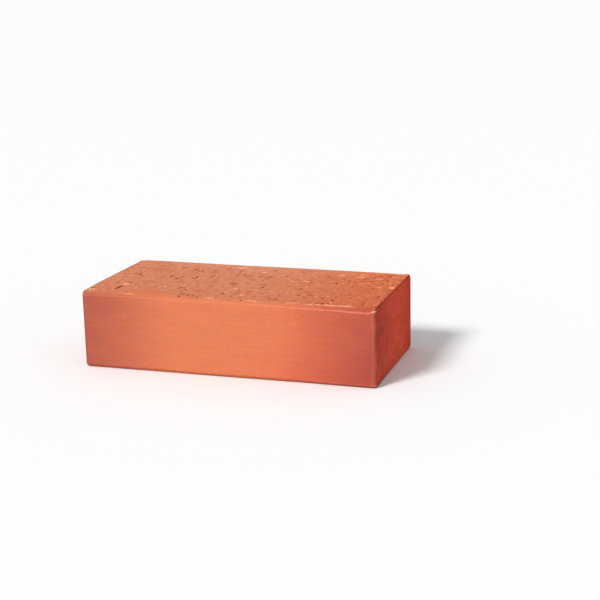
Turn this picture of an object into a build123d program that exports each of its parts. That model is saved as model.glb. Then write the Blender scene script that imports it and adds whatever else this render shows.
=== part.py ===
from build123d import *
import os

# Solid facing brick of fired clay, one piece without holes, lying on its lower bed.
# Origin at the centre of the lower bed: +X along the length, +Y across the width, +Z up.
# All sizes are in millimetres.

# Format of the brick
brick_length = 250.0
brick_width = 120.0
brick_height = 65.0

# Rounding of the four upright arrises
arris_radius = 4.0

# Bevel round each bed: how far it comes in over the bed from the stretchers and from the headers,
# and how far it runs down all four faces
stretcher_bevel_in = 3.0
header_bevel_in = 1.0
bevel_down = 3.0

# Rounding of the line where the bevel turns into the upright faces
ease_radius = 1.2

# Rounding left at the corners of the bed when the bevel takes away most of the arris
least_corner_radius = 0.5

# Main tears that the cutting wire opened in the upper bed: place along and across as shares of the half
# length and half width, then length, width, and lean in degrees off straight across the brick
bed_tears = [
    (-0.80, -0.63, 12.0, 2.6, 4),
    (-0.86, -0.38, 5.0, 2.0, 10),
    (-0.78, 0.05, 5.0, 2.2, 20),
    (-0.62, 0.40, 8.0, 1.6, 30),
    (-0.48, 0.55, 9.0, 2.4, 30),
    (-0.50, 0.13, 4.0, 1.8, 15),
    (-0.30, 0.23, 10.0, 1.7, 15),
    (-0.39, 0.08, 7.0, 2.2, 20),
    (-0.46, -0.17, 9.0, 1.8, 16),
    (-0.34, -0.57, 4.0, 2.4, 0),
    (-0.27, -0.82, 5.0, 2.4, 10),
    (-0.12, -0.28, 6.0, 1.4, 25),
    (-0.13, 0.27, 6.0, 1.4, 15),
    (-0.14, 0.50, 5.0, 1.5, 20),
    (-0.06, -0.63, 5.0, 3.4, 0),
    (0.01, -0.42, 5.0, 2.2, 20),
    (0.02, -0.77, 4.0, 2.2, 10),
    (0.09, -0.47, 9.0, 1.8, 30),
    (0.10, -0.08, 10.0, 1.6, 35),
    (0.08, 0.73, 6.0, 2.0, 30),
    (0.19, -0.53, 5.0, 1.6, 20),
    (0.28, -0.77, 5.0, 2.6, 20),
    (0.40, -0.17, 5.0, 2.2, 10),
    (0.42, 0.20, 7.0, 1.4, 25),
    (0.43, -0.52, 5.0, 1.6, 20),
    (0.50, -0.47, 7.0, 1.8, 20),
    (0.49, 0.25, 8.0, 1.5, 35),
    (0.67, -0.80, 4.0, 3.2, 0),
    (0.70, 0.33, 7.0, 1.5, 25),
    (0.75, -0.35, 5.0, 1.6, 20),
    (0.90, -0.73, 6.0, 1.6, 30),
]

# Height of a tear's axis over the bed, which keeps its two tips open
tear_lift = 0.15

# Heights at which the bevels meet the upright faces
lower_line = bevel_down
upper_line = brick_height - bevel_down


def outline(level, header_inset, stretcher_inset):
    """Plan of the brick at one height, drawn in from its headers and its stretchers."""
    corner_radius = max(arris_radius - max(header_inset, stretcher_inset), least_corner_radius)
    plan = RectangleRounded(brick_length - 2 * header_inset, brick_width - 2 * stretcher_inset, corner_radius)
    return Pos(0, 0, level) * plan


def upright_faces():
    """The stretchers and headers with their rounded arrises, between the two bevels."""
    return extrude(outline(lower_line, 0, 0), upper_line - lower_line)


def bevel(bed_level, face_line):
    """One bevelled band, from the line on the faces to the edge of the bed."""
    bed = outline(bed_level, header_bevel_in, stretcher_bevel_in)
    return loft([outline(face_line, 0, 0), bed], ruled=True)


def lies_at(level):
    """Test for an edge that runs level at one height."""
    return lambda edge: abs(edge.bounding_box().min.Z - level) + abs(edge.bounding_box().max.Z - level) < 1e-3


def bed_tear(along, across, length, width, lean):
    """Spindle that opens one tear: a shallow arc turned about its chord, which lies just over the bed."""
    arc = ThreePointArc((-length / 2, 0), (0, width / 2), (length / 2, 0))
    chord = Line((length / 2, 0), (-length / 2, 0))
    spindle = revolve(make_face([arc, chord]), Axis.X)
    place = Pos(along * brick_length / 2, across * brick_width / 2, brick_height + tear_lift)
    return place * Rot(0, 0, 90 - lean) * spindle


def clay_brick():
    block = upright_faces() + bevel(0, lower_line) + bevel(brick_height, upper_line)
    turns = block.edges().filter_by(lies_at(lower_line)) + block.edges().filter_by(lies_at(upper_line))
    return fillet(turns, ease_radius) - [bed_tear(*tear) for tear in bed_tears]


brick = clay_brick()
brick.label = "clay_brick"

os.makedirs("parts", exist_ok=True)
export_step(brick, "parts/clay_brick.step")
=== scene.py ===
import math
import bpy
import numpy as np
from mathutils import Matrix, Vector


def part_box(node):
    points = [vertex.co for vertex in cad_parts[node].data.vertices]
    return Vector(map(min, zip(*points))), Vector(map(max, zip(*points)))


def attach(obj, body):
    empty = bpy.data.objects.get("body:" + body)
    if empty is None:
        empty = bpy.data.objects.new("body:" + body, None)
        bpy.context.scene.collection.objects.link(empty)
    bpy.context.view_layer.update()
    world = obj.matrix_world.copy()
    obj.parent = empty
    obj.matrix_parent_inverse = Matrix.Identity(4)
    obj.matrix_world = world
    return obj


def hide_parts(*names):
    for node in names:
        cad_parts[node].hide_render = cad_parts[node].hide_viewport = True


# A solid facing brick: die-smooth upright faces, wire-cut beds with torn pits, one skin of fired clay.
# The brick's own settings are in millimetres unless a line says otherwise.

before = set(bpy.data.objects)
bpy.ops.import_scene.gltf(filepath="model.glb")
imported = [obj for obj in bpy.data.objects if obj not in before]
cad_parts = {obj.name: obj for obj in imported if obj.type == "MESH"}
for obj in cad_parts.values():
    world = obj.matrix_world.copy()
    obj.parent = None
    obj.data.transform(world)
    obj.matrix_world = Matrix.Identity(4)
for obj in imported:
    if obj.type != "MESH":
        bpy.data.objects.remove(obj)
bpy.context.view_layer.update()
lowCorner, highCorner = (np.array(corner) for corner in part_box("clay_brick"))
mm = 0.001
white = (1, 1, 1, 1)
halfLength = (highCorner[0] - lowCorner[0]) / 2 / mm
halfWidth = (highCorner[1] - lowCorner[1]) / 2 / mm
height = highCorner[2] / mm

brick = {
    "gridStep": 0.5,        # spacing of the surface points before thinning
    "arrisSteps": 5,        # grid steps over each half of a rounded upright arris
    "bevelSteps": 8,        # grid steps down each bevel
    "arrisRadius": 4.0,
    "stretcherBevel": 3.0,  # reach of the bevel over the bed from the long faces
    "headerBevel": 1.0,     # the same from the short faces
    "bevelDown": 3.0,
    "bevelEase": 0.6,       # half the rounding where the bevel meets the face
    "bevelWander": 0.1,     # share by which the bevel widens and narrows along the brick
    "wanderSize": 30.0,
    "wanderFade": (11, 3),  # it comes in between these distances from the long faces
    "cornerSwell": 0.38,    # share by which the bevel grows towards the front right corner
    "cornerRun": (35, 115),
    "cornerTurn": 1.5,      # how much of that it loses again where it turns up into the corner
    "turnFade": (7, 1),     # distances from the right header
    "endSwell": 2.8,        # how much wider the left header's bevel is at the back
    "endFade": (14, 4),     # distances from the left header
    "endRun": (-40, 58),
    "mostTriangles": 192000,
    "sharpAngle": 48,       # degrees past which two faces meet in a hard edge
    "seed": 41,
}

bedHalfLength = halfLength - brick["headerBevel"]
bedHalfWidth = halfWidth - brick["stretcherBevel"]
cloudTable = np.random.default_rng(brick["seed"]).uniform(-1, 1, (64, 64, 64))


def cloud(points, size, shift):
    # random values at the corners of a cubic lattice, blended inside each cube by 6t^5 - 15t^4 + 10t^3;
    # each shift gives another cloud
    scaled = points / size + shift * 7.31
    cell = np.floor(scaled).astype(int)
    part = scaled - cell
    ease = part ** 3 * (part * (part * 6 - 15) + 10)
    total = np.zeros(len(points))
    for corner in range(8):
        step = np.array([corner & 1, corner >> 1 & 1, corner >> 2 & 1])
        weight = np.where(step, ease, 1 - ease).prod(axis=1)
        at = (cell + step) % 64
        total += weight * cloudTable[at[:, 0], at[:, 1], at[:, 2]]
    return total


def layeredCloud(points, size, layers, shift):
    # clouds of half the size and half the strength, added to each other
    return sum(cloud(points, size / 2 ** n, shift + n) / 2 ** n for n in range(layers))


def smoothRamp(value, start, end):
    # 0 before start, 1 after end, 3t^2 - 2t^3 between
    t = np.clip((value - start) / (end - start), 0, 1)
    return t * t * (3 - 2 * t)


# The surface is the skin of a box-shaped lattice (i, j, k), bent into the brick's rounded outline
arrisSteps, bevelSteps = brick["arrisSteps"], brick["bevelSteps"]
countX = int(2 * (halfLength - brick["arrisRadius"]) / brick["gridStep"]) + 2 * arrisSteps
countY = int(2 * (halfWidth - brick["arrisRadius"]) / brick["gridStep"]) + 2 * arrisSteps
countZ = int((height - 2 * brick["bevelDown"]) / brick["gridStep"]) + 2 * bevelSteps


def latticeQuads():
    # the four corners of each cell on each of the six sides, in the order that faces outwards
    def side(countA, countB, place, flip):
        a, b = (grid.ravel() for grid in np.meshgrid(np.arange(countA), np.arange(countB), indexing="ij"))
        corners = [place(a, b), place(a + 1, b), place(a + 1, b + 1), place(a, b + 1)]
        return np.stack(corners[::-1] if flip else corners, axis=1)

    def key(i, j, k):
        return (i * (countY + 1) + j) * (countZ + 1) + k

    return np.concatenate([
        side(countX, countY, lambda a, b: key(a, b, countZ), False),
        side(countX, countY, lambda a, b: key(a, b, 0), True),
        side(countX, countZ, lambda a, b: key(a, 0, b), False),
        side(countX, countZ, lambda a, b: key(a, countY, b), True),
        side(countY, countZ, lambda a, b: key(countX, a, b), False),
        side(countY, countZ, lambda a, b: key(0, a, b), True),
    ])


def alongSide(index, count):
    # a lattice index as its place on the straight run, -1 to 1, and its share of the way round the arris
    run = np.clip((index - arrisSteps) / (count - 2 * arrisSteps), 0, 1) * 2 - 1
    share = np.clip(index - (count - arrisSteps), 0, None) - np.clip(arrisSteps - index, 0, None)
    return run, share / arrisSteps


def bevelShare(depth):
    # t, 0 on the faces and 1 at the bed: (down - depth) / down, eased into 0 at the face by (a + w)^2 / 4w
    down, w = brick["bevelDown"], brick["bevelEase"]
    over = down - depth
    return np.where(over > w, over, np.where(over < -w, 0, (over + w) ** 2 / (4 * w))) / down


def roundedPlan(i, j, t):
    # straight run plus a corner of radius r - t * stretcherBevel, drawn in by t times each bevel
    runX, shareX = alongSide(i, countX)
    runY, shareY = alongSide(j, countY)
    radius = brick["arrisRadius"] - t * brick["stretcherBevel"]
    size = np.maximum(abs(shareX), abs(shareY))
    least = np.minimum(abs(shareX), abs(shareY))
    angle = np.divide(least, size, out=np.zeros_like(size), where=size > 0) * math.pi / 4
    angle = np.where(abs(shareX) >= abs(shareY), angle, math.pi / 2 - angle)
    outX = radius * size * np.cos(angle) * np.sign(shareX)
    outY = radius * size * np.sin(angle) * np.sign(shareY)
    x = runX * (halfLength - t * brick["headerBevel"] - radius) + outX
    y = runY * (halfWidth - t * brick["stretcherBevel"] - radius) + outY
    return x, y


def unevenBevel(x, y, z, t):
    # growth: a cloud, plus a swelling towards the front right corner of the upper bed
    # near the stretchers the bevel grows by that share over the bed and along the face
    # the left header's bevel comes in by t * endSwell more towards its back
    down, onUpper = brick["bevelDown"], z > height / 2
    depth = np.minimum(z, height - z)
    spot = np.stack([x, y, np.where(onUpper, 300.0, 0.0)], axis=1)
    growth = brick["bevelWander"] * cloud(spot, brick["wanderSize"], 3)
    upperCorner = smoothRamp(x, *brick["cornerRun"]) * smoothRamp(-y, 0, halfWidth) * onUpper
    turning = smoothRamp(x, *(halfLength - far for far in brick["turnFade"]))
    growth += brick["cornerSwell"] * upperCorner * (1 - brick["cornerTurn"] * turning)
    nearSide = smoothRamp(abs(y), *(halfWidth - far for far in brick["wanderFade"]))
    y = y - np.sign(y) * nearSide * t * growth * brick["stretcherBevel"]
    atLeft = smoothRamp(-x, *(halfLength - far for far in brick["endFade"]))
    x = x + brick["endSwell"] * t * (atLeft * smoothRamp(y, *brick["endRun"]) * onUpper)
    slide = growth * down * smoothRamp(depth, 0, down) * (1 - smoothRamp(depth, down, 4 * down)) * nearSide
    z = z + np.where(z < height / 2, 1, -1) * slide
    return np.stack([x, y, z], axis=1)


def brickShape(i, j, k):
    # level: even steps up the faces, shorter steps over the bevels; each level has its own rounded plan
    down = brick["bevelDown"]
    middle = np.clip((k - bevelSteps) / (countZ - 2 * bevelSteps), 0, 1) * (height - 2 * down) + down
    rising = np.clip(k - (countZ - bevelSteps), 0, None)
    falling = np.clip(bevelSteps - k, 0, None)
    z = middle + (rising - falling) / bevelSteps * down
    t = bevelShare(np.minimum(z, height - z))
    x, y = roundedPlan(i, j, t)
    onBed = (k == 0) | (k == countZ)
    return unevenBevel(x, y, z, t), onBed, t


def insideBed(x, y):
    # distance from the line where the bed meets its bevels, the lesser one of along and across
    return np.minimum(bedHalfLength - abs(x), bedHalfWidth - abs(y))


def faceNormals(points, quads):
    # cross product of each quad's diagonals, added up at its corners
    cross = np.cross(points[quads[:, 2]] - points[quads[:, 0]], points[quads[:, 3]] - points[quads[:, 1]])
    total = np.stack([
        np.bincount(quads.ravel(), np.repeat(cross[:, axis], 4), len(points)) for axis in range(3)
    ], axis=1)
    return total / np.linalg.norm(total, axis=1, keepdims=True)


bed = {
    "sink": 0.22,               # how far the cut surface lies under the frame's box, on average
    "wave": 0.16,               # slow waves left by the cutting wire
    "waveSize": 34.0,
    "patchSize": 25.0,          # the grain is stronger in some patches of this size
    "grain": 0.085,             # torn grain
    "grainSize": 2.2,
    "grainStretch": 0.55,       # under 1: the wire draws the grain out across the brick
    "flake": 0.08,              # height of the little scabs of clay between the tears
    "flakeSize": 3.4,
    "flakeStretch": 0.6,
    "flakeFrom": (0.05, 0.30),  # cloud values between which a scab rises
    "drag": 0.05,               # fine furrows left by the wire
    "dragSize": 1.3,
    "dragLength": 16.0,
    "lean": 19.0,               # degrees that the wire's marks lean off straight across the brick
    "calmRim": 0.6,             # the relief calms down this close to the rim
}

pits = {
    "count": 150,               # on each bed, besides the listed marks
    "smallCount": 220,
    "length": (1.3, 3.4),
    "smallLength": (0.8, 1.6),
    "depth": (0.7, 1.7),
    "smallDepth": (0.35, 0.8),
    "widthShare": (0.45, 0.9),  # of the length
    "tearShare": 0.55,          # share of the pits that the wire has drawn out into tears
    "tearLength": (4.0, 9.0),
    "tearWidth": (1.1, 1.9),
    "tearDepth": (0.6, 1.2),
    "apart": 4.0,               # least distance of a random pit from a listed mark
    "leanSpread": 11.0,
    "warp": 0.55,               # how far the outline of a pit wanders
    "warpSize": 1.5,
    "lip": 0.14,                # raised rim on the far side of a pit
    "lipPlace": 1.3,            # where it stands, in half widths of the pit, and how wide it is
    "lipSpread": 0.22,
    "brightFrom": 0.9,          # pits deeper than this get a painted highlight on their far rim
    "scabLift": 0.09,
}

# The clearest marks on the upper bed: along, across, length, width, lean in degrees, depth
bedMarks = [
    (-100, -38, 14, 3.0, 4, 2.4),
    (-110, -54, 3, 2.8, 0, 1.7),
    (-108, -23, 5, 2.0, 10, 1.4),
    (-98, 3, 5, 2.2, 20, 1.4),
    (-98, -21, 4, 3.0, 10, 0.6),
    (-78, 24, 8, 1.6, 30, 1.2),
    (-60, 33, 9, 2.4, 30, 1.1),
    (-62, 8, 4, 1.8, 15, 1.1),
    (-37, 14, 10, 1.7, 15, 1.5),
    (-49, 5, 7, 2.2, 20, 1.4),
    (-57, -10, 9, 1.8, 16, 1.3),
    (-42, -34, 4, 2.4, 0, 1.6),
    (-34, -49, 5, 2.4, 10, 1.5),
    (-39, -56, 4, 2.4, 0, 1.5),
    (-24, -55, 3, 2.6, 0, 1.2),
    (-15, -17, 6, 1.4, 25, 1.2),
    (-16, 16, 6, 1.4, 15, 1.1),
    (-18, 30, 5, 1.5, 20, 1.0),
    (-8, -38, 5, 3.4, 0, 1.6),
    (1, -25, 5, 2.2, 20, 1.5),
    (2, -46, 4, 2.2, 10, 1.3),
    (11, -28, 9, 1.8, 30, 1.5),
    (13, -5, 10, 1.6, 35, 1.3),
    (10, 44, 6, 2.0, 30, 1.2),
    (14, -56, 4, 2.2, 0, 1.3),
    (24, -32, 5, 1.6, 20, 1.2),
    (35, -46, 5, 2.6, 20, 1.6),
    (50, -10, 5, 2.2, 10, 1.4),
    (52, 12, 7, 1.4, 25, 1.1),
    (54, -31, 5, 1.6, 20, 1.2),
    (63, -28, 7, 1.8, 20, 1.4),
    (61, 15, 8, 1.5, 35, 1.2),
    (84, -48, 4, 3.2, 0, 2.2),
    (88, 20, 7, 1.5, 25, 1.2),
    (94, -21, 5, 1.6, 20, 1.2),
    (112, -44, 6, 1.6, 30, 1.3),
    (123, -12, 3, 2.4, 0, 1.3),
]

# Thin pale scabs on the upper bed: along, across, their reach along and across the brick
bedFlecks = [
    (-99, -28, 7, 5),
    (-122, -46, 4, 9),
    (-22, 47, 11, 5),
    (-3, -24, 5, 3),
    (9, -41, 4, 3),
    (-63, -31, 4, 3),
    (2, 35, 6, 3),
    (-14, 41, 6, 3),
    (34, 13, 8, 2),
    (47, 14, 9, 2),
    (69, 40, 8, 2.4),
    (88, 46, 9, 2.4),
    (87, 37, 10, 2),
    (98, 20, 6, 2),
    (104, 34, 8, 2),
    (111, 7, 5, 4),
    (121, 8, 5, 5),
    (113, 23, 8, 2.4),
    (120, 16, 5, 3),
    (115, 43, 9, 2),
    (117, 54, 9, 2.6),
    (100, 55, 12, 2.4),
    (-119, -51, 5, 7),
    (73, -55.5, 14, 3.5),
    (86, -55.5, 11, 4),
    (98, -55.5, 12, 4),
    (55, -56, 9, 2.5),
    (22, -56, 10, 2),
    (-14, -56, 9, 2),
]


def pitList(rng, marks):
    # rows of along, across, half length, half width, lean and depth: the listed ones, then at random
    rows = [(x, y, long / 2, wide / 2, math.radians(lean), deep) for x, y, long, wide, lean, deep in marks]
    placed = np.array([row[:2] for row in rows]).reshape(-1, 2)
    for kind, count in (("", pits["count"]), ("small", pits["smallCount"])):
        lengths = pits["smallLength" if kind else "length"]
        depths = pits["smallDepth" if kind else "depth"]
        for n in range(count):
            x, y = rng.uniform(-1, 1, 2) * (halfLength - 2, halfWidth - 3)
            long = rng.uniform(*lengths)
            wide = long * rng.uniform(*pits["widthShare"])
            lean = math.radians(rng.normal(bed["lean"], pits["leanSpread"]))
            deep = rng.uniform(*depths) * min(1, wide / 1.2)
            if not kind and rng.random() < pits["tearShare"]:
                long = rng.uniform(*pits["tearLength"])
                wide = rng.uniform(*pits["tearWidth"])
                deep = rng.uniform(*pits["tearDepth"])
            if np.hypot(*(placed - (x, y)).T).min(initial=math.inf) > pits["apart"]:
                rows.append((x, y, long / 2, wide / 2, lean, deep))
    return rows


def tornGrain(flat, shift):
    # layered clouds and furrows in axes turned with the wire, plateaus where a cloud passes a threshold,
    # all stronger in some patches, on slow waves
    lean = math.radians(bed["lean"])
    turned = flat.copy()
    turned[:, 0] = flat[:, 0] * math.cos(lean) - flat[:, 1] * math.sin(lean)
    turned[:, 1] = flat[:, 0] * math.sin(lean) + flat[:, 1] * math.cos(lean)
    strength = 0.8 + 0.6 * cloud(flat, bed["patchSize"], shift + 9)
    grain = layeredCloud(turned * (1, bed["grainStretch"], 1), bed["grainSize"], 3, shift + 5)
    flakes = layeredCloud(turned * (1, bed["flakeStretch"], 1), bed["flakeSize"], 2, shift + 7)
    flakes = smoothRamp(flakes, *bed["flakeFrom"])
    furrows = cloud(turned * (1, bed["dragSize"] / bed["dragLength"], 1), bed["dragSize"], shift + 12)
    waves = bed["wave"] * (cloud(flat, bed["waveSize"], shift + 14) - 1) / 2
    return (bed["grain"] * grain + bed["flake"] * (flakes - 0.5) + bed["drag"] * furrows) * strength + waves


def bedRelief(x, y, rng, marks, flecks, shift):
    # pits: each lowers the points inside its warped ellipse, steeply at the rim, and raises a lip beyond
    # flecks: each raises a thin scab inside its warped ellipse, broken up by a cloud
    shape = x.shape
    flat = np.stack([x.ravel(), y.ravel(), np.full(x.size, shift * 50.0)], axis=1)
    rise = tornGrain(flat, shift).reshape(shape)
    warpX, warpY = (
        pits["warp"] * layeredCloud(flat, pits["warpSize"], 2, shift + n).reshape(shape) for n in (20, 23)
    )
    pitShadeMask, hole, lip, paleAndHighlight = (np.zeros_like(x) for n in range(4))
    rowX, rowY = x[:, shape[1] // 2], y[shape[0] // 2]
    for cx, cy, halfLong, halfWide, lean, deep in pitList(rng, marks):
        reach = halfLong + 2
        i0, i1 = np.searchsorted(rowX, (cx - reach, cx + reach))
        j0, j1 = np.searchsorted(rowY, (cy - reach, cy + reach))
        patch = (slice(i0, i1), slice(j0, j1))
        dx = x[patch] - cx + warpX[patch] * min(1, halfWide)
        dy = y[patch] - cy + warpY[patch] * min(1, halfWide)
        along = dx * math.sin(lean) + dy * math.cos(lean)
        across = dx * math.cos(lean) - dy * math.sin(lean)
        far = np.hypot(along / halfLong, across / halfWide)
        inside = smoothRamp(1.15 - far, 0, 0.5)
        hole[patch] = np.maximum(hole[patch], deep * inside * (0.85 - 0.15 * along / halfLong))
        # painted shade in and round the pit
        pitShade = smoothRamp(1.3 - far, 0, 0.65) * min(1, 0.25 + deep / 1.3)
        pitShadeMask[patch] = np.maximum(pitShadeMask[patch], pitShade)
        side = np.clip(0.35 + 0.5 * along / halfLong + 0.5 * across / halfWide, 0, 1)
        rim = np.exp(-((far - pits["lipPlace"]) / pits["lipSpread"]) ** 2) * side * min(1, 0.3 + deep / 1.5)
        lip[patch] = np.maximum(lip[patch], rim * pits["lip"])
        # a painted highlight on the far rim of deep pits
        paleAndHighlight[patch] = np.maximum(paleAndHighlight[patch], rim * np.clip(deep - pits["brightFrom"], 0, 1))
    broken = smoothRamp(layeredCloud(flat, 1.8, 2, shift + 33).reshape(shape), -0.9, -0.1)
    for cx, cy, long, wide in flecks:
        far = np.hypot((x - cx + warpX * 1.6) / long, (y - cy + warpY * 1.6) / wide) * 2
        scab = smoothRamp(1.15 - far, 0, 0.5) * broken
        paleAndHighlight = np.maximum(paleAndHighlight, scab)
        lip = np.maximum(lip, pits["scabLift"] * scab)
    return rise, hole, lip, pitShadeMask, paleAndHighlight


# Skin of the front face that was drawn over the rim of the upper bed
smear = {
    "centre": -67.0,
    "halfWidth": 19.0,
    "reach": 13.0,
    "ragged": 3.4,
    "raggedSize": 9.0,
    "fade": (-1.2, 2.2),
    "sag": 0.75,                # how far it rounds the rim off
}


def smearShare(x, y):
    # 1 inside the tongue of skin that lies over the front rim, 0 outside its ragged edge
    flat = np.stack([x.ravel(), y.ravel(), np.zeros(x.size)], axis=1)
    ragged = smear["ragged"] * layeredCloud(flat, smear["raggedSize"], 3, 31).reshape(x.shape)
    across = np.sqrt(np.clip(1 - ((x - smear["centre"]) / smear["halfWidth"]) ** 2, 0, None))
    edge = -bedHalfWidth + (smear["reach"] + ragged) * across
    return smoothRamp(edge - y, *smear["fade"]) * (across > 0)


rims = {
    "ragged": 0.26,             # uneven edge where the bed meets the bevel
    "raggedSize": 2.6,
    "faceSink": 0.05,
    "faceWave": 0.045,          # slow waves of the die-smooth faces
    "faceWaveSize": 45.0,
    "edgeLine": 0.72,           # width of the pale line along the bed, partly wear and partly painted highlight
    "leftLine": 0.15,           # strength of that line at the left, in the middle and at its palest stretch
    "middleLine": 0.35,
    "palestLine": 1.1,
    "middleRun": (-60, -20),
    "paleRun": (62, 108),
    "flakePlace": (-83, -57, 65),       # a pale scab on the front rim
    "flakeReach": (6.5, 1.3, 1.2),
    "creaseRun": (-90, -70),            # a crease along the front bevel
    "creasePlace": 0.45,                # its bevel share, and how wide it is
    "creaseSpread": 0.12,
    "creaseDepth": 0.22,
}

chips = {
    "count": 54,                # small bites along the rims of both beds
    "upperShare": 0.6,
    "stretcherShare": 0.68,
    "length": (1.0, 3.8),
    "depth": (0.3, 0.9),
    "across": 1.0,              # how far a bite reaches over the bed, and along the face
    "up": 0.9,
}


def rimWearAndHighlight(points, onBed):
    # worn line with a painted highlight: a bell curve over the distance from the bed's edge, patchy, its
    # strength changing along x
    # flake: a soft ellipsoid round its place on the front rim
    x, y, z = points.T
    away = np.where(onBed, insideBed(x, y), np.minimum(z, height - z))
    edge = np.exp(-(away / rims["edgeLine"]) ** 2)
    patchy = 0.75 + 0.6 * layeredCloud(points, 7.0, 3, 52)
    start, end = rims["paleRun"]
    fading = smoothRamp(x, end - 6, end + 4)
    palest = smoothRamp(x, start, start + 8) * (1 - fading)
    growth = (rims["middleLine"] - rims["leftLine"]) * smoothRamp(x, *rims["middleRun"])
    strength = rims["leftLine"] + growth
    strength = strength * (1 - fading * 0.6) + (rims["palestLine"] - strength) * palest
    flake = np.linalg.norm((points - rims["flakePlace"]) / rims["flakeReach"], axis=1)
    flake = smoothRamp(1 - flake, 0, 0.4) * (z > height / 2)
    return np.clip(np.maximum(edge * patchy * strength, flake), 0, 1), flake, edge


def frontCrease(points, t):
    # a bell curve over the bevel share, faded in and out along the front bevel of the upper bed
    x, y, z = points.T
    start, end = rims["creaseRun"]
    across = np.exp(-((t - rims["creasePlace"]) / rims["creaseSpread"]) ** 2)
    along = smoothRamp(x, start, start + 4) * smoothRamp(-x, -end, 4 - end)
    return across * along * ((y < 0) & (z > height / 2))


def dressBed(grid, points, rise, marks, rng, upper):
    # relief of one bed, calmed towards its rim; on the upper one the tongue of skin lies over it
    x, y = points[grid, 0], points[grid, 1]
    placed, flecks, shift = (bedMarks, bedFlecks, 1) if upper else ([], [], 2)
    up, hole, lip, pitShadeMask, lit = bedRelief(x, y, rng, placed, flecks, shift)
    calm = smoothRamp(insideBed(x, y), 0, bed["calmRim"])
    if upper:
        over = smearShare(x, y) * (1 - marks["flake"][grid])
        bow = smoothRamp(-y, halfWidth - smear["reach"], bedHalfWidth) ** 2
        hole = hole * (1 - over) + over * smear["sag"] * bow
        up = up * (1 - 0.8 * over) + 0.1 * over
        pitShadeMask, lit = pitShadeMask * (1 - over), lit * (1 - over)
        marks["skin"][grid] = over
        marks["wear"][grid] *= 1 - over
    rise[grid] = -bed["sink"] + up * calm - hole * (0.6 + 0.4 * calm) + lip * calm
    marks["pit"][grid], marks["paleAndHighlight"][grid] = pitShadeMask, lit


def biteRims(points, rise, pit, rng):
    # each bite is a bowl, deep * (1 - d^2), d being the stretched and clouded distance from a place on a rim
    for n in range(chips["count"]):
        long, deep = rng.uniform(*chips["length"]), rng.uniform(*chips["depth"])
        level = height if rng.random() < chips["upperShare"] else 0
        run, side = rng.uniform(-1, 1), rng.choice([-1, 1])
        if rng.random() < chips["stretcherShare"]:
            place = (run * (halfLength - 4), side * bedHalfWidth, level)
            reach = np.array([long, chips["across"], chips["up"]])
        else:
            place = (side * bedHalfLength, run * (halfWidth - 4), level)
            reach = np.array([chips["across"], long, chips["up"]])
        near = np.flatnonzero((abs(points - place) < reach * 1.5).all(axis=1))
        far = np.linalg.norm((points[near] - place) / reach, axis=1) + 0.35 * cloud(points[near], 1.2, 60)
        rise[near] -= deep * np.clip(1 - far ** 2, 0, 1)
        # painted shade in the bite
        pit[near] = np.maximum(pit[near], 0.45 * smoothRamp(1 - far, 0, 0.4))


def brickMesh():
    # the smooth shape, moved along its normals by the relief of its faces, beds, rims, crease and bites
    quads = latticeQuads()
    keys, flatQuads = np.unique(quads.ravel(), return_inverse=True)
    quads = flatQuads.reshape(-1, 4)
    i, j, k = np.unravel_index(keys, (countX + 1, countY + 1, countZ + 1))
    points, onBed, t = brickShape(i, j, k)
    normals = faceNormals(points, quads)
    rng = np.random.default_rng(brick["seed"])
    wear, flake, edge = rimWearAndHighlight(points, onBed)
    marks = {name: np.zeros(len(points)) for name in ("pit", "paleAndHighlight", "skin")}
    marks.update(wear=wear, flake=flake, cut=onBed * 1.0, bevel=t)
    rise = rims["faceWave"] * cloud(points, rims["faceWaveSize"], 40) - rims["faceSink"]
    for level in (countZ, 0):
        grid = np.flatnonzero(k == level).reshape(countX + 1, countY + 1)
        dressBed(grid, points, rise, marks, rng, upper=level > 0)
    rise -= rims["ragged"] * edge * (0.6 + 0.5 * layeredCloud(points, rims["raggedSize"], 3, 50))
    rise -= rims["creaseDepth"] * frontCrease(points, t)
    biteRims(points, rise, marks["pit"], rng)
    points = points + normals * np.minimum(rise, -0.01)[:, None]
    print("brick lattice:", len(points), "points,", len(quads), "quads")
    return points * mm, quads, marks


sheet = {
    "width": 400.0,             # millimetres of brick across the whole map
    "gap": 4.0,
}


def addObject(name, data):
    made = bpy.data.objects.new(name, data)
    bpy.context.scene.collection.objects.link(made)
    return made


def readAll(items, name, kind=float, width=1):
    # one value, or a row of width values, for each vertex, corner or face of a mesh
    values = np.empty(len(items) * width, kind)
    items.foreach_get(name, values)
    return values if width == 1 else values.reshape(-1, width)


def layFlat(mesh):
    # each side lies flat on one square sheet: the place along and up that side, plus that side's own corner
    ends = readAll(mesh.loops, "vertex_index", int)
    sizes = readAll(mesh.polygons, "loop_total", int)
    normals = np.repeat(readAll(mesh.polygons, "normal", width=3), sizes, axis=0)
    at = readAll(mesh.vertices, "co", width=3)[ends] / mm + (halfLength, halfWidth, 0)
    axis = abs(normals * (1, 1, 0.9)).argmax(axis=1)
    positive = normals[np.arange(len(ends)), axis] > 0
    gap = sheet["gap"]
    bedRow, faceRow = 2 * halfWidth + gap, height + gap
    along = np.where(axis == 0, at[:, 1] + 2 * halfLength + 2 * gap, at[:, 0] + gap)
    up = np.where(axis == 2, at[:, 1] + gap + positive * bedRow, at[:, 2] + gap)
    up += np.where(axis == 1, 2 * bedRow + positive * faceRow, 0)
    up += np.where(axis == 0, positive * faceRow, 0)
    layer = mesh.uv_layers.new(name="OFBake")
    layer.data.foreach_set("uv", (np.stack([along, up], axis=1) / sheet["width"]).ravel())


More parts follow.
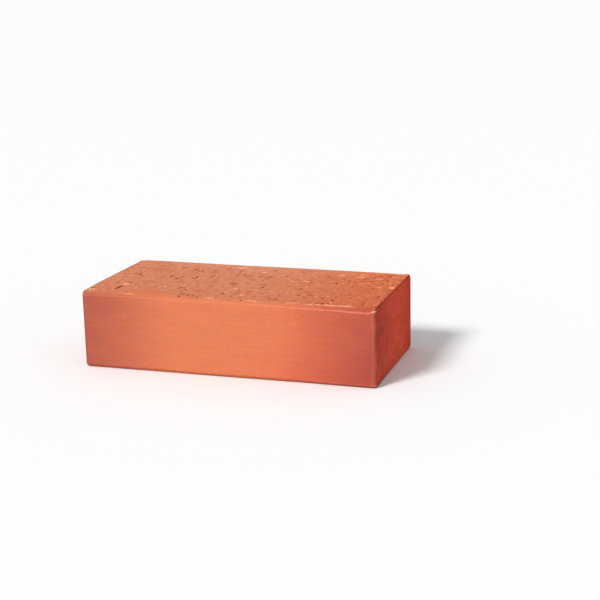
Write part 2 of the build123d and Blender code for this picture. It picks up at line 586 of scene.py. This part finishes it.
def buildBrick():
    points, quads, marks = brickMesh()
    mesh = bpy.data.meshes.new("fineSurface")
    mesh.from_pydata(points, [], quads)
    for name, values in marks.items():
        mesh.attributes.new(name, "FLOAT", "POINT").data.foreach_set("value", values.astype(np.float32))
    fine = addObject("fineSurface", mesh)
    thin = fine.modifiers.new("thin", "DECIMATE")
    thin.ratio = brick["mostTriangles"] / (2 * len(quads))
    thinned = bpy.data.meshes.new_from_object(fine.evaluated_get(bpy.context.evaluated_depsgraph_get()))
    bpy.data.objects.remove(fine)
    thinned.name = "clayBrick"
    thinned.polygons.foreach_set("use_smooth", np.ones(len(thinned.polygons), bool))
    thinned.set_sharp_from_angle(angle=math.radians(brick["sharpAngle"]))
    # a face belongs to a bed where all its corners do
    cut = readAll(thinned.attributes["cut"].data, "value")[readAll(thinned.loops, "vertex_index", int)]
    onBed = np.minimum.reduceat(cut, readAll(thinned.polygons, "loop_start", int)) > 0.5
    thinned.materials.append(None)
    thinned.materials.append(None)
    thinned.polygons.foreach_set("material_index", onBed.astype(np.int32))
    layFlat(thinned)
    print("brick thinned to", len(thinned.polygons), "faces,", int(onBed.sum()), "of them on the beds")
    return addObject("clayBrick", thinned)


piece = buildBrick()


def addNode(tree, kind, values=None, **settings):
    # one shader node: its own settings by name, then its sockets, each a value or another node's output
    node = tree.nodes.new("ShaderNode" + kind)
    for name, value in settings.items():
        setattr(node, name, value)
    for name, value in (values or {}).items():
        if isinstance(value, bpy.types.NodeSocket):
            tree.links.new(value, node.inputs[name])
        else:
            node.inputs[name].default_value = value
    return node


def maths(tree, operation, a, b=0.0):
    return addNode(tree, "Math", {0: a, 1: b}, operation=operation).outputs[0]


def times(tree, value, *others):
    # the values multiplied by each other
    for other in others:
        value = maths(tree, "MULTIPLY", value, other)
    return value


def vectorMaths(tree, operation, a, b):
    # b is a second vector, or the plain value of SCALE
    second = "Scale" if operation == "SCALE" else 1
    return addNode(tree, "VectorMath", {0: a, second: b}, operation=operation).outputs[0]


def splitAxes(tree, vector):
    return addNode(tree, "SeparateXYZ", {0: vector}).outputs


def mixColour(tree, share, a, b, mode="MIX"):
    values = {0: share, 6: a, 7: b}
    return addNode(tree, "Mix", values, data_type="RGBA", blend_type=mode).outputs[2]


def ramp(tree, value, start, end, low=0.0, high=1.0):
    values = {0: value, 1: start, 2: end, 3: low, 4: high}
    return addNode(tree, "MapRange", values, interpolation_type="SMOOTHSTEP").outputs[0]


def noise(tree, place, size, detail=3.0, rough=0.55):
    # size is the width of one cloud in metres, as a value or another node's output
    scale = maths(tree, "DIVIDE", 1.0, size)
    values = {"Vector": place, "Scale": scale, "Detail": detail, "Roughness": rough}
    return addNode(tree, "TexNoise", values).outputs[0]


def objectPlace(tree):
    return tree.nodes.new("ShaderNodeTexCoord").outputs["Object"]


def newGroup(name, inputs, outputs):
    # an empty node group with named sockets; an input's kind follows from how long its starting value is
    group = bpy.data.node_groups.new(name, "ShaderNodeTree")
    for label, value in inputs.items():
        kind = {1: "Float", 3: "Vector", 4: "Color"}[np.size(value)]
        socket = group.interface.new_socket(name=label, in_out="INPUT", socket_type="NodeSocket" + kind)
        socket.default_value = value
    for label, kind in outputs.items():
        group.interface.new_socket(name=label, in_out="OUTPUT", socket_type="NodeSocket" + kind)
    return group, group.nodes.new("NodeGroupInput").outputs, group.nodes.new("NodeGroupOutput").inputs


def useGroup(tree, name, values):
    return addNode(tree, "Group", values, node_tree=groups[name]).outputs


def makeKilnFlash():
    # the even colour in the middle of the brick runs into the flashed one towards both ends
    group, given, out = newGroup("kilnFlash", {
        "Even": white, "Flashed": (0.5, 0.5, 0.5, 1),
        "Middle": 0.0, "Start": 0.03, "End": 0.12, "Wander": 0.01,
    }, {"Color": "Color"})
    place = objectPlace(group)
    far = maths(group, "ABSOLUTE", maths(group, "SUBTRACT", splitAxes(group, place)[0], given["Middle"]))
    drift = maths(group, "SUBTRACT", noise(group, place, 0.05), 0.5)
    far = maths(group, "ADD", far, times(group, drift, given["Wander"]))
    mask = ramp(group, far, given["Start"], given["End"])
    group.links.new(mixColour(group, mask, given["Even"], given["Flashed"]), out["Color"])
    return group


def makeClayMottle():
    # soft patches of a second tint, and lighter and darker clouds over both
    group, given, out = newGroup("clayMottle", {
        "Color": white, "Tint": (0.5, 0.5, 0.5, 1), "Patch Size": 0.02, "Tint Share": 0.5,
        "Stretch": (1, 1, 1), "Lightness": 0.1,
    }, {"Color": "Color"})
    place = vectorMaths(group, "MULTIPLY", objectPlace(group), given["Stretch"])
    patches = ramp(group, noise(group, place, given["Patch Size"], 4.0, 0.6), 0.38, 0.66)
    tinted = mixColour(group, times(group, patches, given["Tint Share"]), given["Color"], given["Tint"])
    shifted = vectorMaths(group, "ADD", place, (0.31, 0.17, 0.23))
    clouds = noise(group, shifted, times(group, given["Patch Size"], 0.6))
    light = times(group, maths(group, "SUBTRACT", clouds, 0.5), given["Lightness"])
    group.links.new(vectorMaths(group, "SCALE", tinted, maths(group, "ADD", 1.0, light)), out["Color"])
    return group


def makeFineGrain():
    # close grain of the clay: a height for the bump and a tone to multiply the colour by
    group, given, out = newGroup("fineGrain", {
        "Grain Size": 0.001, "Stretch": (1, 1, 1), "Lean": (0, 0, 0),
        "Hollow Tone": (0.9, 0.88, 0.86, 1), "Ridge Tone": (1.1, 1.12, 1.14, 1),
    }, {"Height": "Float", "Tone": "Color"})
    turned = {0: objectPlace(group), "Rotation": given["Lean"]}
    turned = addNode(group, "Mapping", turned).outputs[0]
    place = vectorMaths(group, "MULTIPLY", turned, given["Stretch"])
    grain = noise(group, place, given["Grain Size"], 4.0, 0.65)
    tone = mixColour(group, ramp(group, grain, 0.3, 0.7), given["Hollow Tone"], given["Ridge Tone"])
    group.links.new(grain, out["Height"])
    group.links.new(tone, out["Tone"])
    return group


def makeClaySpecks(name, dimensions):
    # a dot near the middle of some cells of a lattice of random points, in space or on the level
    group, given, out = newGroup(name, {
        "Spacing": 0.006, "Size": 0.15, "Share": 0.4, "Stretch": (1, 1, 1), "Ragged": 0.0,
    }, {"Mask": "Float"})
    place = vectorMaths(group, "MULTIPLY", objectPlace(group), given["Stretch"])
    scale = maths(group, "DIVIDE", 1.0, given["Spacing"])
    wobble = {"Vector": place, "Scale": times(group, scale, 3.5), "Detail": 3.0}
    wobble = addNode(group, "TexNoise", wobble).outputs["Color"]
    wobble = vectorMaths(group, "SUBTRACT", wobble, (0.5, 0.5, 0.5))
    moved = vectorMaths(group, "ADD", place, vectorMaths(group, "SCALE", wobble, given["Ragged"]))
    values = {"Vector": moved, "Scale": scale}
    cells = addNode(group, "TexVoronoi", values, voronoi_dimensions=dimensions).outputs
    chance = addNode(group, "SeparateColor", {0: cells["Color"]}).outputs
    chosen = maths(group, "LESS_THAN", chance[0], given["Share"])
    size = times(group, given["Size"], maths(group, "ADD", 0.5, chance[1]))
    dot = ramp(group, cells["Distance"], size, times(group, size, 0.5))
    group.links.new(times(group, dot, chosen), out["Mask"])
    return group


def makeEdgeWearAndHighlight():
    # paler clay, partly wear and partly painted highlight, where that mask is strong, broken up by a cloud
    group, given, out = newGroup("edgeWearAndHighlight", {
        "Color": white, "Worn And Highlight": white, "Wear And Highlight": 0.0, "Strength": 0.5, "Break Size": 0.004,
    }, {"Color": "Color"})
    broken = ramp(group, noise(group, objectPlace(group), given["Break Size"]), 0.3, 0.6, 0.55, 1.0)
    mask = times(group, given["Wear And Highlight"], broken, given["Strength"])
    group.links.new(mixColour(group, mask, given["Color"], given["Worn And Highlight"]), out["Color"])
    return group


def makeRimLines():
    # from the bevel share t, masks of the pale lines over the face, under the bed and round the arrises,
    # partly wear and partly painted highlight, and of a painted corner highlight
    # round: 2ab / (a^2 + b^2), a and b being how far a place lies beyond the arris centre along and across
    group, given, out = newGroup("rimLines", {
        "Bevel": 0.0, "Lower Line": 0.5, "Upper Line": 0.5, "Arris": 0.2, "Corner": 1.0, "Break Size": 0.004,
    }, {"Worn And Highlight": "Float", "Corner Wear And Highlight": "Float", "Round": "Float"})
    place, t = objectPlace(group), given["Bevel"]
    axes = splitAxes(group, place)
    centres = ((halfLength - brick["arrisRadius"]) * mm, (halfWidth - brick["arrisRadius"]) * mm)
    a, b = (
        maths(group, "MAXIMUM", maths(group, "SUBTRACT", maths(group, "ABSOLUTE", axes[n]), centres[n]), 0.0)
        for n in range(2)
    )
    squares = maths(group, "MAXIMUM", maths(group, "ADD", times(group, a, a), times(group, b, b)), 1e-9)
    rounded = ramp(group, maths(group, "DIVIDE", times(group, a, b, 2.0), squares), 0.0, 0.9)
    lower = times(group, ramp(group, t, 0.0, 0.06), ramp(group, t, 0.36, 0.14))
    upper = ramp(group, t, 0.78, 0.97)
    broken = ramp(group, noise(group, place, given["Break Size"]), 0.3, 0.6, 0.45, 1.0)
    lines = times(group, lower, given["Lower Line"])
    lines = maths(group, "MAXIMUM", lines, times(group, upper, given["Upper Line"]))
    lines = maths(group, "MAXIMUM", lines, times(group, rounded, given["Arris"]))
    group.links.new(times(group, lines, broken), out["Worn And Highlight"])
    group.links.new(times(group, lower, rounded, given["Corner"]), out["Corner Wear And Highlight"])
    group.links.new(rounded, out["Round"])
    return group


groups = {
    "flash": makeKilnFlash(),
    "mottle": makeClayMottle(),
    "grain": makeFineGrain(),
    "specks": makeClaySpecks("claySpecks", "3D"),
    "flecks": makeClaySpecks("clayFlecks", "2D"),
    "wear": makeEdgeWearAndHighlight(),
    "rims": makeRimLines(),
}
print("node groups:", ", ".join(group.name for group in groups.values()))


def markOf(tree, name):
    mark = addNode(tree, "Attribute", attribute_name=name, attribute_type="GEOMETRY")
    return mark.outputs["Fac"]


def newClay(name, clay):
    material = bpy.data.materials.new(name)
    material.use_nodes = True
    shader = material.node_tree.nodes["Principled BSDF"]
    shader.inputs["Roughness"].default_value = clay["roughness"]
    shader.inputs["Specular IOR Level"].default_value = clay["specular"]
    return material, material.node_tree, shader


def clayGrain(tree, size, hollow, ridge, **more):
    values = {"Grain Size": size, "Hollow Tone": (*hollow, 1), "Ridge Tone": (*ridge, 1)}
    return useGroup(tree, "grain", values | more)


def finishClay(tree, shader, clay, colour, relief):
    tree.links.new(colour, shader.inputs["Base Color"])
    values = {"Strength": clay["bump"], "Distance": clay["bumpHeight"], "Height": relief}
    tree.links.new(addNode(tree, "Bump", values).outputs[0], shader.inputs["Normal"])


def toned(tree, colour, *tones):
    # the colour multiplied by each of the tones
    for tone in tones:
        colour = mixColour(tree, 1.0, colour, tone, "MULTIPLY")
    return colour


def toneWhere(tree, mask, tone):
    # the tone inside the mask, white outside it
    return mixColour(tree, mask, white, tone)


# Where the tones come in: metres, shares of the bevel, pit depths or, for the ruddy patches, cloud values,
# from nothing to full or with the strengths at both ends
runs = {
    "rightTone": (0.14, 0.22),              # from the left end
    "lowAlong": (0.0, 0.09),
    "lowUp": (0.034, 0.006),
    "evenBevel": (0.07, -0.03, 0.15, 0.65),
    "headerFacing": (0.45, 0.85),
    "headerNearShade": (-0.056, 0.004),
    "headerLowBounce": (0.04, 0.008),
    "headerFarShade": (0.024, 0.058),
    "headerBevel": (0.1, 0.6),
    "rimBevel": (0.7, 0.95),
    "rimAcross": (0.01, -0.045, 0.25, 0.85),
    "bevelShade": (0.1, 0.5),
    "bevelRightShade": (0.096, 0.118),
    "bites": (0.15, 0.4, 0.0, 0.8),
    "lowerLine": (0.0, 0.12, 0.06, 0.34),
    "paleStart": (0.06, 0.07),
    "paleEnd": (0.112, 0.102),
    "cornerAlong": (-0.05, 0.05, 0.1, 0.8),
    "cornerAcross": (0.05, -0.05, 0.3, 1.0),
    "cornerUp": (0.01, 0.06, 0.35, 1.0),
    "arris": (-0.05, 0.05, 0.0, 0.13),
    "leftArrisShade": (-0.02, -0.1),
    "ruddy": (0.56, 0.7, 0.0, 0.5),
    "backTone": (0.022, 0.054),
    "frontTone": (-0.015, -0.05),
    "paleAndHighlight": (-0.07, 0.01, 0.88, 1.0),
    "rightAlong": (-0.02, 0.11),
    "rightAcross": (-0.05, 0.03),
    "pitShadeEdge": (0.0, 0.55, 0.0, 0.9),
    "pit": (0.4, 0.95, 0.0, 0.97),
}


def runUp(tree, value, name):
    return ramp(tree, value, *runs[name])


skinClay = {
    "even": (0.608, 0.173, 0.081, 1),
    "flashed": (0.380, 0.091, 0.061, 1),
    "rightTone": (1.0, 0.81, 0.85, 1),      # the right half was fired redder
    "lowTone": (0.96, 0.89, 0.92, 1),       # redder and darker still low down at the right
    "tint": (0.560, 0.140, 0.064, 1),
    "leftHeader": (0.440, 0.112, 0.064, 1),
    "leftTint": (0.480, 0.122, 0.066, 1),
    "header": (0.600, 0.062, 0.029, 1),     # the right one, its red partly the clay's and partly painted red light thrown on it from beside
    "headerNearShade": (0.368, 0.039, 0.025, 1),  # painted shade towards the front arris
    # the right header's tint also holds painted red light thrown on it from beside
    "headerBounceTint": (0.650, 0.083, 0.032, 1),
    "headerLowBounce": (1.16, 1.46, 1.44, 1),     # painted light thrown up from below, lighter and greyer low down
    "headerFarShade": (0.85, 0.64, 0.44, 1),     # and painted shade, darker towards the back arris
    "headerRimShadow": (0.240, 0.028, 0.006, 1),  # painted shadow line under the near half of its bed's edge
    "headerBevel": (0.96, 0.96, 0.80, 1),
    # painted shade on the left arrises
    "leftArrisShade": (0.78, 0.84, 0.88, 1),
    "warmCloud": (1.01, 0.99, 0.93, 1),     # the colour drifts softly between these two tones
    "coolCloud": (0.992, 1.012, 1.07, 1),
    # worn: pale lines along the rims, partly wear and partly painted highlight, and the pale scab; pale: a
    # painted highlight, with some wear, where the arrises meet them
    "wornAndHighlight": (0.800, 0.345, 0.220, 1),
    "pale": (0.900, 0.430, 0.310, 1),
    "speck": (0.860, 0.420, 0.280, 1),
    # hollow: painted shade in the bites along the rims
    "hollow": (0.300, 0.060, 0.030, 1),
    "flashStart": 0.035,
    "flashEnd": 0.130,
    "bevelShade": (0.95, 0.95, 0.95, 1),     # painted shade: the bevels face the light and are a little darker
    "bevelRightShade": (0.90, 0.81, 0.83, 1),    # most of all at the right end
    "roughness": 0.68,
    "roughChange": 0.07,
    "specular": 0.025,
    "bump": 0.35,
    "bumpHeight": 0.00012,                  # metres
}


def stretcherColour(tree, along, up, bevel):
    # flashed towards both ends, redder at the right and low down there, evener on the bevel at the left
    colour = useGroup(tree, "flash", {
        "Even": skinClay["even"], "Flashed": skinClay["flashed"], "Middle": 0.003,
        "Start": skinClay["flashStart"], "End": skinClay["flashEnd"], "Wander": 0.016,
    })["Color"]
    start, end = runs["rightTone"]
    redder = useGroup(tree, "flash", {
        "Even": white, "Flashed": skinClay["rightTone"], "Middle": -halfLength * mm,
        "Start": start, "End": end, "Wander": 0.02,
    })["Color"]
    lowRight = times(tree, runUp(tree, along, "lowAlong"), runUp(tree, up, "lowUp"))
    colour = toned(tree, colour, redder, toneWhere(tree, lowRight, skinClay["lowTone"]))
    evener = times(tree, bevel, runUp(tree, along, "evenBevel"))
    return useGroup(tree, "mottle", {
        "Color": mixColour(tree, evener, colour, skinClay["even"]), "Tint": skinClay["tint"],
        "Patch Size": 0.016, "Tint Share": 0.14, "Stretch": (0.5, 1.0, 1.0), "Lightness": 0.1,
    })["Color"]


def headerColour(tree, along, across, up, bevel):
    # plain at the left; at the right, red partly painted from light thrown on it from beside, painted shade
    # towards both arrises, painted light from below that makes it greyer low down, and a painted shadow line
    # along its bed
    atRight = ramp(tree, along, -0.01, 0.01)
    near = runUp(tree, across, "headerNearShade")
    red = mixColour(tree, near, skinClay["headerNearShade"], skinClay["header"])
    colour = useGroup(tree, "mottle", {
        "Color": mixColour(tree, atRight, skinClay["leftHeader"], red),
        "Tint": mixColour(tree, atRight, skinClay["leftTint"], skinClay["headerBounceTint"]),
        "Patch Size": 0.006, "Tint Share": 0.4, "Stretch": (1.0, 1.0, 0.6), "Lightness": 0.46,
    })["Color"]
    low = toneWhere(tree, runUp(tree, up, "headerLowBounce"), skinClay["headerLowBounce"])
    far = toneWhere(tree, runUp(tree, across, "headerFarShade"), skinClay["headerFarShade"])
    grain = clayGrain(tree, 0.003, (0.88, 0.76, 0.66), (1.09, 1.20, 1.29))["Tone"]
    browner = toneWhere(tree, runUp(tree, bevel, "headerBevel"), skinClay["headerBevel"])
    colour = toned(tree, colour, toneWhere(tree, atRight, toned(tree, low, far)), grain, browner)
    # painted shadow line under the bed's edge, on its near half
    rim = times(tree, runUp(tree, bevel, "rimBevel"), runUp(tree, across, "rimAcross"))
    return mixColour(tree, times(tree, rim, atRight), colour, skinClay["headerRimShadow"])


def skinRims(tree, along, across, up, bevel, onHeader):
    # pale lines, partly wear and partly painted highlight: the line over the face grows to the right, the
    # one under the bed is palest in one stretch of the front
    pale = times(tree, runUp(tree, along, "paleStart"), runUp(tree, along, "paleEnd"))
    corner = times(tree, runUp(tree, along, "cornerAlong"), runUp(tree, across, "cornerAcross"))
    fainter = maths(tree, "SUBTRACT", 1.0, times(tree, onHeader, 0.75))
    return useGroup(tree, "rims", {
        "Bevel": bevel,
        "Lower Line": times(tree, runUp(tree, along, "lowerLine"), fainter),
        "Upper Line": maths(tree, "ADD", 0.06, times(tree, pale, 0.8)),
        "Arris": runUp(tree, along, "arris"),
        "Corner": times(tree, corner, runUp(tree, up, "cornerUp")),
        "Break Size": 0.005,
    })


def makeFiredSkin():
    material, tree, shader = newClay("firedSkin", skinClay)
    place = objectPlace(tree)
    along, across, up = splitAxes(tree, place)
    bevel = markOf(tree, "bevel")
    facing = splitAxes(tree, addNode(tree, "NewGeometry").outputs["Normal"])
    onHeader = runUp(tree, maths(tree, "ABSOLUTE", facing[0]), "headerFacing")
    header = headerColour(tree, along, across, up, bevel)
    colour = mixColour(tree, onHeader, stretcherColour(tree, along, up, bevel), header)
    upright = {"Stretch": (0.035, 0.035, 1.0)}
    grain = clayGrain(tree, 0.0014, (0.945, 0.93, 0.92), (1.045, 1.06, 1.07))
    streaks = clayGrain(tree, 0.0012, (0.965, 0.955, 0.95), (1.03, 1.04, 1.045), **upright)
    offHeader = maths(tree, "SUBTRACT", 1.0, onHeader)
    # painted shade on the bevels, most of all at the right end
    atRight = times(tree, runUp(tree, along, "bevelRightShade"), offHeader)
    bevelShade = mixColour(tree, atRight, skinClay["bevelShade"], skinClay["bevelRightShade"])
    bevelShading = toneWhere(tree, runUp(tree, bevel, "bevelShade"), bevelShade)
    drift = ramp(tree, noise(tree, place, 0.01, 4.0, 0.6), 0.36, 0.64)
    drift = mixColour(tree, drift, skinClay["warmCloud"], skinClay["coolCloud"])
    colour = toned(tree, colour, grain["Tone"], streaks["Tone"], bevelShading, drift)
    # painted shade in the bites
    biteShade = times(tree, markOf(tree, "pit"), runUp(tree, bevel, "bites"))
    colour = mixColour(tree, biteShade, colour, skinClay["hollow"])
    rimMasks = skinRims(tree, along, across, up, bevel, onHeader)
    # painted shade on the left arrises
    leftArrisShade = times(tree, rimMasks["Round"], runUp(tree, along, "leftArrisShade"))
    colour = toned(tree, colour, toneWhere(tree, leftArrisShade, skinClay["leftArrisShade"]))
    # pale lines, partly wear and partly painted highlight, with the pale scab on the front rim; then the
    # painted corner highlights
    wornAndHighlight = maths(tree, "MAXIMUM", rimMasks["Worn And Highlight"], times(tree, markOf(tree, "flake"), 0.85))
    colour = mixColour(tree, wornAndHighlight, colour, skinClay["wornAndHighlight"])
    colour = mixColour(tree, rimMasks["Corner Wear And Highlight"], colour, skinClay["pale"])
    specks = useGroup(tree, "specks", {"Spacing": 0.009, "Size": 0.06, "Share": 0.55})["Mask"]
    colour = mixColour(tree, times(tree, specks, 0.45), colour, skinClay["speck"])
    low, high = (skinClay["roughness"] + sign * skinClay["roughChange"] for sign in (-1, 1))
    rough = ramp(tree, noise(tree, place, 0.006), 0.3, 0.7, low, high)
    tree.links.new(rough, shader.inputs["Roughness"])
    relief = maths(tree, "ADD", grain["Height"], times(tree, streaks["Height"], 0.8))
    finishClay(tree, shader, skinClay, colour, relief)
    return material


cutClay = {
    "even": (0.604, 0.229, 0.130, 1),
    "flashed": (0.570, 0.136, 0.056, 1),    # towards the right end
    "tint": (0.632, 0.186, 0.098, 1),
    "ruddy": (0.525, 0.130, 0.074, 1),      # a few redder patches
    # painted shade in the pits, darkest inside and lighter round them
    "pit": (0.165, 0.034, 0.009, 1),
    "pitShadeEdge": (0.460, 0.098, 0.034, 1),
    # pale scabs, painted highlights on the far rims of deep pits and on the pale line along the rim
    "paleAndHighlight": (0.900, 0.405, 0.232, 1),
    "speck": (0.940, 0.390, 0.212, 1),
    "backTone": (1.05, 1.12, 1.16, 1),      # the far rows are paler
    "frontTone": (0.98, 0.935, 0.91, 1),    # and the near ones a little browner
    "backRight": (1.02, 0.95, 0.90, 1),
    "smear": (0.610, 0.174, 0.080, 1),
    "roughness": 0.85,
    "specular": 0.03,
    "bump": 0.6,
    "bumpHeight": 0.00022,
}


def makeWireCut():
    material, tree, shader = newClay("wireCutFace", cutClay)
    place = objectPlace(tree)
    colour = useGroup(tree, "flash", {
        "Even": cutClay["even"], "Flashed": cutClay["flashed"], "Middle": -halfLength * mm,
        "Start": 0.13, "End": 0.262, "Wander": 0.05,
    })["Color"]
    colour = useGroup(tree, "mottle", {
        "Color": colour, "Tint": cutClay["tint"], "Patch Size": 0.007, "Tint Share": 0.6,
        "Stretch": (1.0, 0.6, 1.0), "Lightness": 0.36,
    })["Color"]
    ruddy = runUp(tree, noise(tree, place, 0.018), "ruddy")
    colour = mixColour(tree, ruddy, colour, cutClay["ruddy"])
    drawn = {"Stretch": (1.0, 0.45, 1.0), "Lean": (0, 0, math.radians(bed["lean"]))}
    coarse = clayGrain(tree, 0.0024, (0.88, 0.82, 0.75), (1.07, 1.10, 1.12), **drawn)
    fine = clayGrain(tree, 0.0011, (0.94, 0.92, 0.89), (1.05, 1.07, 1.08))
    along, across, up = splitAxes(tree, place)
    far = toneWhere(tree, runUp(tree, across, "backTone"), cutClay["backTone"])
    near = toneWhere(tree, runUp(tree, across, "frontTone"), cutClay["frontTone"])
    colour = toned(tree, colour, coarse["Tone"], fine["Tone"], far, near)
    # pale scabs, and painted highlights on the far rims of deep pits
    paleAndHighlight = times(tree, markOf(tree, "paleAndHighlight"), runUp(tree, along, "paleAndHighlight"))
    colour = mixColour(tree, paleAndHighlight, colour, cutClay["paleAndHighlight"])
    backRight = times(tree, runUp(tree, along, "rightAlong"), runUp(tree, across, "rightAcross"))
    colour = toned(tree, colour, toneWhere(tree, backRight, cutClay["backRight"]))
    share = maths(tree, "ADD", 0.04, times(tree, backRight, 0.24))
    specks = useGroup(tree, "flecks", {
        "Spacing": 0.006, "Size": 0.19, "Share": share, "Stretch": (0.7, 1.0, 1.0), "Ragged": 0.005,
    })["Mask"]
    colour = mixColour(tree, times(tree, specks, 0.65), colour, cutClay["speck"])
    # the pale line along the bed's rim, partly wear and partly painted highlight
    colour = useGroup(tree, "wear", {
        "Color": colour, "Worn And Highlight": cutClay["paleAndHighlight"], "Wear And Highlight": markOf(tree, "wear"),
        "Strength": 0.9, "Break Size": 0.006,
    })["Color"]
    # painted shade in and round the pits
    pit = markOf(tree, "pit")
    colour = mixColour(tree, runUp(tree, pit, "pitShadeEdge"), colour, cutClay["pitShadeEdge"])
    colour = mixColour(tree, runUp(tree, pit, "pit"), colour, cutClay["pit"])
    smeared = toned(tree, cutClay["smear"], fine["Tone"])
    colour = mixColour(tree, markOf(tree, "skin"), colour, smeared)
    relief = maths(tree, "ADD", times(tree, coarse["Height"], 2.0), fine["Height"])
    finishClay(tree, shader, cutClay, colour, relief)
    return material


piece.data.materials[0] = makeFiredSkin()
piece.data.materials[1] = makeWireCut()
print("materials:", ", ".join(material.name for material in piece.data.materials))

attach(piece, "root")
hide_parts("clay_brick")

floorSheet = {
    "width": 60.0,              # metres
    "tone": 0.86,
    "roughness": 0.9,
    "specular": 0.1,
}


def buildFloor():
    wide = floorSheet["width"] / 2
    mesh = bpy.data.meshes.new("floor")
    corners = [(x * wide, y * wide, 0) for x, y in ((-1, -1), (1, -1), (1, 1), (-1, 1))]
    mesh.from_pydata(corners, [], [(0, 1, 2, 3)])
    floor = addObject("floor", mesh)
    paper, tree, shader = newClay("palePaper", floorSheet)
    shader.inputs["Base Color"].default_value = (*[floorSheet["tone"]] * 3, 1)
    mesh.materials.append(paper)


studio = {
    "world": 0.55,
    "keyTurn": -30.0,           # degrees to the left of straight in front
    "keyHeight": 41.0,
    "keyPower": 2.87,
    "keySoftness": 16.0,
}


def buildLight():
    world = bpy.data.worlds.new("studio")
    world.use_nodes = True
    background = world.node_tree.nodes["Background"].inputs
    background["Color"].default_value = white
    background["Strength"].default_value = studio["world"]
    bpy.context.scene.world = world
    data = bpy.data.lights.new("key", "SUN")
    data.energy = studio["keyPower"]
    data.angle = math.radians(studio["keySoftness"])
    key = addObject("key", data)
    key.rotation_euler = (math.radians(90 - studio["keyHeight"]), 0, math.radians(studio["keyTurn"]))


# Where the picture is taken from, in metres and degrees in the brick's own frame
view = {
    "place": (0.3944, -1.0730, 0.3503),
    "turn": 18.05,
    "pitch": 14.80,
    "roll": -1.28,
    "focalPixels": 1413.0,
    "framePixels": 600.0,
    "sensor": 36.0,
}


def buildCamera():
    # ahead, right and up from turn and pitch, then right and up turned about ahead by the roll
    turn, pitch, roll = (math.radians(view[name]) for name in ("turn", "pitch", "roll"))
    flat = math.cos(pitch)
    ahead = np.array([-math.sin(turn) * flat, math.cos(turn) * flat, -math.sin(pitch)])
    right = np.array([math.cos(turn), math.sin(turn), 0])
    up = np.cross(right, ahead)
    rolledRight = right * math.cos(roll) + up * math.sin(roll)
    rolledUp = up * math.cos(roll) - right * math.sin(roll)
    data = bpy.data.cameras.new("camera")
    data.sensor_width = view["sensor"]
    data.lens = view["focalPixels"] / view["framePixels"] * view["sensor"]
    data.clip_end = 200
    camera = addObject("camera", data)
    rows = np.column_stack([rolledRight, rolledUp, -ahead, view["place"]])
    camera.matrix_world = Matrix([*rows.tolist(), [0, 0, 0, 1]])
    bpy.context.scene.camera = camera


buildFloor()
buildLight()
buildCamera()
bpy.context.scene.view_settings.view_transform = "Standard"
print("floor, light and camera placed")
